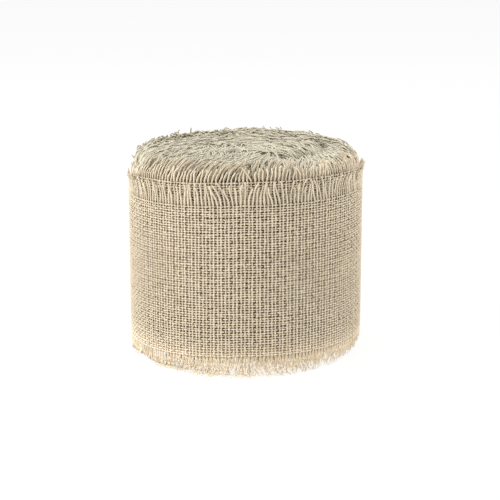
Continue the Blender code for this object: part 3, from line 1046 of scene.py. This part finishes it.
@dataclass(frozen=True)
class CardFinish:
    """Grey-brown card wound in a slow spiral, with a seam and loose fibres."""

    FIBRES_ACROSS = 300.0
    FIBRES_UP = 1500.0
    FIBRE_SPAN = (-0.7, 0.7)
    FIBRE_RELIEF = 0.4
    SEAM_SHARE = 0.7
    RELIEF = 0.4
    RELIEF_DEPTH = 0.0002

    name: str
    pale: Colour = (0.50, 0.41, 0.29)
    dark: Colour = (0.33, 0.26, 0.17)
    lead: float = 0.030
    seam_width: float = 0.02

    def make(self) -> Material:
        """Work out the colours and the relief.

        Returns:
            The material.
        """
        tree = ShaderTree(self.name)
        x, y, z = tree.parts(tree.place())
        around = tree.math("ARCTAN2", y, x) / FULL_TURN
        winding = tree.math("FRACT", z / self.lead + around)
        seam = tree.math("ABSOLUTE", winding - 0.5).smooth(self.seam_width, 0.0)
        fibres = tree.vector(x * self.FIBRES_ACROSS, y * self.FIBRES_ACROSS, z * self.FIBRES_UP)
        fibre = tree.noise(fibres, detail=3.0)
        mottled = tree.mix(fibre.smooth(*self.FIBRE_SPAN), self.dark, self.pale)
        tree.set({"Base Color": tree.mix(seam * self.SEAM_SHARE, mottled, self.dark), "Roughness": 0.88})
        tree.bump(fibre * self.FIBRE_RELIEF - seam, self.RELIEF, self.RELIEF_DEPTH)
        return tree.material


@dataclass(frozen=True)
class Stretch:
    """A stretch of the ribbon, from its first yarn up to the one after its last."""

    start: int
    end: int

    @property
    def yarns(self) -> int:
        """How many yarns it has."""
        return self.end - self.start

    def inputs(self) -> dict[str, int]:
        """The stretch as inputs of a tree."""
        return {"First yarn": self.start, "Yarns": self.yarns}

    def thirds(self) -> list[Stretch]:
        """Its three parts."""
        marks = [self.start + round(self.yarns * part / 3) for part in range(4)]
        return [Stretch(*ends) for ends in zip(marks, marks[1:])]


def numbered(name: str, count: int) -> list[str]:
    """The names of numbered nodes, from 1."""
    return [f"{name}_{number}" for number in range(1, count + 1)]


@dataclass
class RibbonRoll:
    """The whole ribbon: packed turns, the second turn, the outermost turn and its free end."""

    winding: Winding
    yarn: Material
    loose: dict[Loose, Material]
    # Painted shade behind the weave, and the packed turns' cloth darkened as painted shade
    ground: Material
    packed_ground: Material
    second_rows: int = 14
    bared_share: float = 0.36
    uncovered_from: float = 0.70
    third_parts: Span = (0.20, 0.58)

    def __post_init__(self) -> None:
        """Build the trees once; every piece uses them."""
        self.weave_tree = WeaveTree(self.winding)
        self.ground_tree = GroundTree(self.winding)
        self.fringe_tree = FringeTree(self.winding)
        self.rows = range(self.winding.rows)
        self.upper_rows = self.rows[-self.second_rows :]

    def cloth(self, name: str, stretch: Stretch, divisions: int, finish: Material | None = None) -> Piece:
        """A stretch of the cloth's ground, in painted shade as under the woven turns if no finish is
        given.
        """
        sizes = {**stretch.inputs(), "Divisions": divisions}
        return self.ground_tree.grow(name, finish or self.ground, sizes)

    def weave(self, name: str, stretch: Stretch, rows: range) -> Piece:
        """A stretch of weave with those rows of yarn along it."""
        sizes = {**stretch.inputs(), "First row": rows.start, "Rows": len(rows)}
        return self.weave_tree.grow(name, self.yarn, sizes)

    def fringe(self, name: str, stretch: Stretch, edge: Edge, style: FringeStyle) -> Piece:
        """A stretch of frayed edge, whose ends lie in that style."""
        sizes = {**stretch.inputs(), "Upward": edge.value, **style.inputs()}
        return self.fringe_tree.grow(name, self.loose[style.finish], sizes)

    def edges(self, name: str, stretch: Stretch, styles: Edges, number: str = "") -> list[Piece]:
        """Both frayed edges of a stretch.

        Args:
            name: what the pieces' names begin with.
            stretch: the stretch.
            styles: how the ends lie above and below.
            number: what the names end with.

        Returns:
            The upper and the lower fringe.
        """
        return [
            self.fringe(f"{name}_{edge.name.lower()}_fringe{number}", stretch, edge, style)
            for edge, style in zip(Edge, styles)
        ]

    @staticmethod
    def hold(*pieces: Piece) -> None:
        """Let pieces ride on the roll."""
        for piece in pieces:
            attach(piece, "roll")

    def build(self) -> None:
        """Every stretch, from the core outwards."""
        self.build_pack()
        self.build_second_turn()
        self.build_outer_turn()
        self.build_tail()

    def build_pack(self) -> None:
        """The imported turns: cloth, and the matted fringe on top."""
        turns, yarn = self.winding.turns, self.winding.yarn
        whole = Stretch(0, yarn(turns - 2))
        bared = Stretch(yarn(turns - 2 - self.bared_share), whole.end)
        cloth = self.cloth("packed_ribbon", whole, divisions=1400, finish=self.packed_ground)
        marks = [*(yarn(turns - 3 + part) for part in (0.0, *self.third_parts)), whole.end]
        others = [
            self.fringe(f"packed_top_fringe_{part}", stretch, Edge.TOP, MAT)
            for part, stretch in enumerate(Stretch(0, marks[0]).thirds(), 1)
        ]
        for part, style in enumerate(THIRD_ROW_PARTS, 1):
            stretch = Stretch(marks[part - 1], marks[part])
            others.append(self.fringe(f"third_top_fringe_{part}", stretch, Edge.TOP, style))
        others += [
            self.fringe("packed_foot_fringe", whole, Edge.FOOT, PACKED_FOOT),
            self.weave("packed_weave_edge", bared, self.upper_rows),
        ]
        self.hold(cloth, *others)
        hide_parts("packed_turns", "wound_turns")
        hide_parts(*numbered("deck_fringe", 8))

    def build_second_turn(self) -> None:
        """The turn under the outermost, woven where it shows or the free end uncovers it."""
        turns, yarn = self.winding.turns, self.winding.yarn
        whole = Stretch(yarn(turns - 2), yarn(turns - 1))
        bared = yarn(turns - 2 + self.uncovered_from)
        cloth = self.cloth("second_ribbon", whole, divisions=400)
        upper = self.weave("second_weave_edge", Stretch(whole.start, bared), self.upper_rows)
        back = self.weave("second_weave_back", Stretch(bared, whole.end), self.rows)
        top, foot = self.edges("second", whole, SECOND_EDGES)
        self.hold(cloth, upper, back, top, foot)
        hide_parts("second_turn")
        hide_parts(*numbered("second_fringe", 4))

    def build_outer_turn(self) -> None:
        """The outermost turn up to half a link short of the first hinge."""
        whole = Stretch(self.winding.yarn(self.winding.turns - 1), self.tail_stops()[0])
        cloth = self.cloth("outer_ribbon", whole, divisions=300)
        weaves = [
            self.weave(f"outer_weave_{part}", stretch, self.rows)
            for part, stretch in enumerate(whole.thirds(), 1)
        ]
        top, foot = self.edges("outer", whole, OUTER_EDGES)
        self.hold(cloth, *weaves, top, foot)
        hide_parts("outer_turn")
        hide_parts(*numbered("outer_top_fringe", 3))
        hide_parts(*numbered("outer_foot_fringe", 3))

    def tail_yarn(self, links: float) -> int:
        """Number of the yarn that lies that many links on from the first hinge."""
        return self.winding.yarn(self.winding.turns - TAIL_SHARE * (1 - links / TAIL_LINKS))

    def tail_stops(self) -> list[int]:
        """Yarn numbers at the middles of the free end's links, and at its end."""
        middles = [place - 0.5 for place in range(TAIL_LINKS)]
        return [self.tail_yarn(links) for links in (*middles, TAIL_LINKS)]

    def build_tail(self) -> None:
        """The free end: each stretch spans one hinge, from the middle of one link to the next.

        The last stretch's ground ends one yarn short, so that it stays behind the cut edge.
        """
        stops = self.tail_stops()
        for link, (start, end) in enumerate(zip(stops, stops[1:]), 1):
            last = link == TAIL_LINKS
            stretch = Stretch(start, end)
            ground = Stretch(start, end - 1) if last else stretch
            cloth = self.cloth(f"tail_ribbon_{link}", ground, divisions=24)
            others = [
                self.weave(f"tail_weave_{link}", stretch, self.rows),
                *self.edges("tail", stretch, OUTER_EDGES, f"_{link}"),
            ]
            bend_end = 2 * self.tail_yarn(link - 1) - start if last else end
            for piece in (cloth, *others):
                self.place(start)
                self.place(bend_end)
                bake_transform(piece)
            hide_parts(f"tail_link_{link}")

    def place(self, yarn: int) -> Point:
        """Where a yarn crosses the middle of the web.

        Args:
            yarn: the yarn's number.

        Returns:
            The place.
        """
        turn = self.winding.turn(yarn * self.winding.yarn_pitch)
        angle = self.winding.angle(turn)
        radius = self.winding.radius(turn)
        return radius * math.cos(angle), radius * math.sin(angle), self.winding.middle()


@dataclass(frozen=True)
class Lamp:
    """A square soft lamp that faces the roll, with its share of the studio's lamp power."""

    name: str
    place: Point
    size: float
    share: float
    aim: Point = (0.0, 0.0, 0.03)

    def hang(self, power: float) -> None:
        """Hang the lamp.

        Args:
            power: the studio's lamp power in watts.
        """
        lamp = bpy.data.lights.new(self.name, "AREA")
        lamp.size = self.size
        lamp.energy = power * self.share
        held = bpy.data.objects.new(self.name, lamp)
        held.location = self.place
        facing = Vector(self.aim) - Vector(self.place)
        held.rotation_euler = facing.to_track_quat("-Z", "Y").to_euler()
        bpy.context.scene.collection.objects.link(held)


@dataclass(frozen=True)
class Studio:
    """A white floor, an even white surround and soft lamps, and the camera of the photograph."""

    LAMPS = (
        Lamp("top_lamp", (0.0, 0.0, 0.75), size=0.9, share=0.8),
        Lamp("left_lamp", (-0.88, -0.22, 0.45), size=0.6, share=1.5),
        Lamp("right_lamp", (0.88, -0.22, 0.45), size=0.6, share=0.7),
    )
    FLOOR = {"Base Color": (0.86, 0.86, 0.86, 1.0), "Roughness": 0.9, "Specular IOR Level": 0.0}

    floor_size: float = 6.0
    camera_distance: float = 0.522
    camera_height: float = 0.160
    camera_aside: float = 0.0018
    camera_tilt: float = math.radians(13.78)
    lens_pixels: float = 1555.0
    image_pixels: float = 500.0
    sensor: float = 36.0
    surround: float = 0.62
    floor_glow: float = 1.75
    glow_share: float = 0.55
    seen_glow_share: float = 0.33
    lamp_power: float = 6.3

    def build(self) -> None:
        """Floor, surround, lamps and camera."""
        bpy.context.scene.view_settings.view_transform = "Standard"
        self.lay_floor()
        self.light_surround()
        for lamp in self.LAMPS:
            lamp.hang(self.lamp_power)
        self.set_camera()

    def lay_floor(self) -> None:
        """A white floor that keeps a faint shadow."""
        half = self.floor_size / 2
        mesh = bpy.data.meshes.new("floor")
        corners = [(-half, -half, 0.0), (half, -half, 0.0), (half, half, 0.0), (-half, half, 0.0)]
        mesh.from_pydata(corners, [], [(0, 1, 2, 3)])
        floor = bpy.data.objects.new("floor", mesh)
        bpy.context.scene.collection.objects.link(floor)
        tree = ShaderTree("white_floor")
        tree.set(self.FLOOR)
        seen = self.seen(tree)
        strength = seen * (1.0 - self.floor_glow) + self.floor_glow
        glow = tree.add("ShaderNodeEmission", None, {"Color": WHITE, "Strength": strength})["Emission"]
        plain = Value(tree, tree.shader.outputs[0])
        share = seen * self.seen_glow_share + self.glow_share
        both = tree.add("ShaderNodeMixShader", None, {0: share, 1: plain, 2: glow})["Shader"]
        tree.fill(tree.nodes.nodes["Material Output"].inputs["Surface"], both)
        mesh.materials.append(tree.material)

    @staticmethod
    def seen(tree: Tree) -> Value:
        """1 for what the camera sees, also through gloss and glass."""
        path = tree.add("ShaderNodeLightPath")
        return path["Is Camera Ray"].at_least(path["Is Glossy Ray"]).at_least(path["Is Transmission Ray"])

    def light_surround(self) -> None:
        """An even surround: white where it is seen, softer as light."""
        world = bpy.data.worlds.new("white_surround")
        world.use_nodes = True
        bpy.context.scene.world = world
        tree = Tree(world.node_tree)
        back = tree.nodes.nodes["Background"]
        tree.fill(back.inputs["Color"], WHITE)
        tree.fill(back.inputs["Strength"], self.seen(tree) * (1.0 - self.surround) + self.surround)

    def set_camera(self) -> None:
        """The camera, fitted to the roll's outline in the photograph."""
        lens = bpy.data.cameras.new("camera")
        lens.sensor_width = self.sensor
        lens.lens = self.sensor * self.lens_pixels / self.image_pixels
        camera = bpy.data.objects.new("camera", lens)
        camera.location = (self.camera_aside, -self.camera_distance, self.camera_height)
        camera.rotation_euler = (math.pi / 2 - self.camera_tilt, 0.0, 0.0)
        bpy.context.scene.collection.objects.link(camera)
        bpy.context.scene.camera = camera


def dress_core(frame: dict) -> None:
    """Give the core tube and its tape their finishes.
    """
    tape = CardFinish("paper_tape", pale=(0.78, 0.73, 0.60), dark=(0.66, 0.60, 0.47), seam_width=0.0)
    for node, finish in {"core_tube": CardFinish("core_card"), "start_tape": tape}.items():
        frame["nodes"][node].data.materials.clear()
        frame["nodes"][node].data.materials.append(finish.make())


def main() -> None:
    """Load the frame, dress it and light it."""
    logging.basicConfig(level=logging.INFO, format="%(message)s")
    for held in list(bpy.data.objects):
        bpy.data.objects.remove(held, do_unlink=True)
    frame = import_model()
    # The packed turns' cloth: linen darkened as painted shade between turns, lighter near the floor as
    # painted bounce light
    packed_linen = GroundFinish("packed_linen", dark=(0.20, 0.165, 0.11), light=(0.31, 0.26, 0.185))
    Studio().build()
    roll = RibbonRoll(
        winding=Winding.from_frame(frame),
        # The weave's yarn, lighter near the floor as painted bounce light
        yarn=YarnFinish("linen_yarn", glow_share=0.75).make(),
        loose={finish: made.make() for finish, made in LOOSE_FINISHES.items()},
        # Painted shade: the dark sheet behind the weave, seen through its holes
        ground=GroundFinish("linen_ground").make(),
        packed_ground=packed_linen.make(),
    )
    roll.build()
    dress_core(frame)


if __name__ == "__main__":
    main()
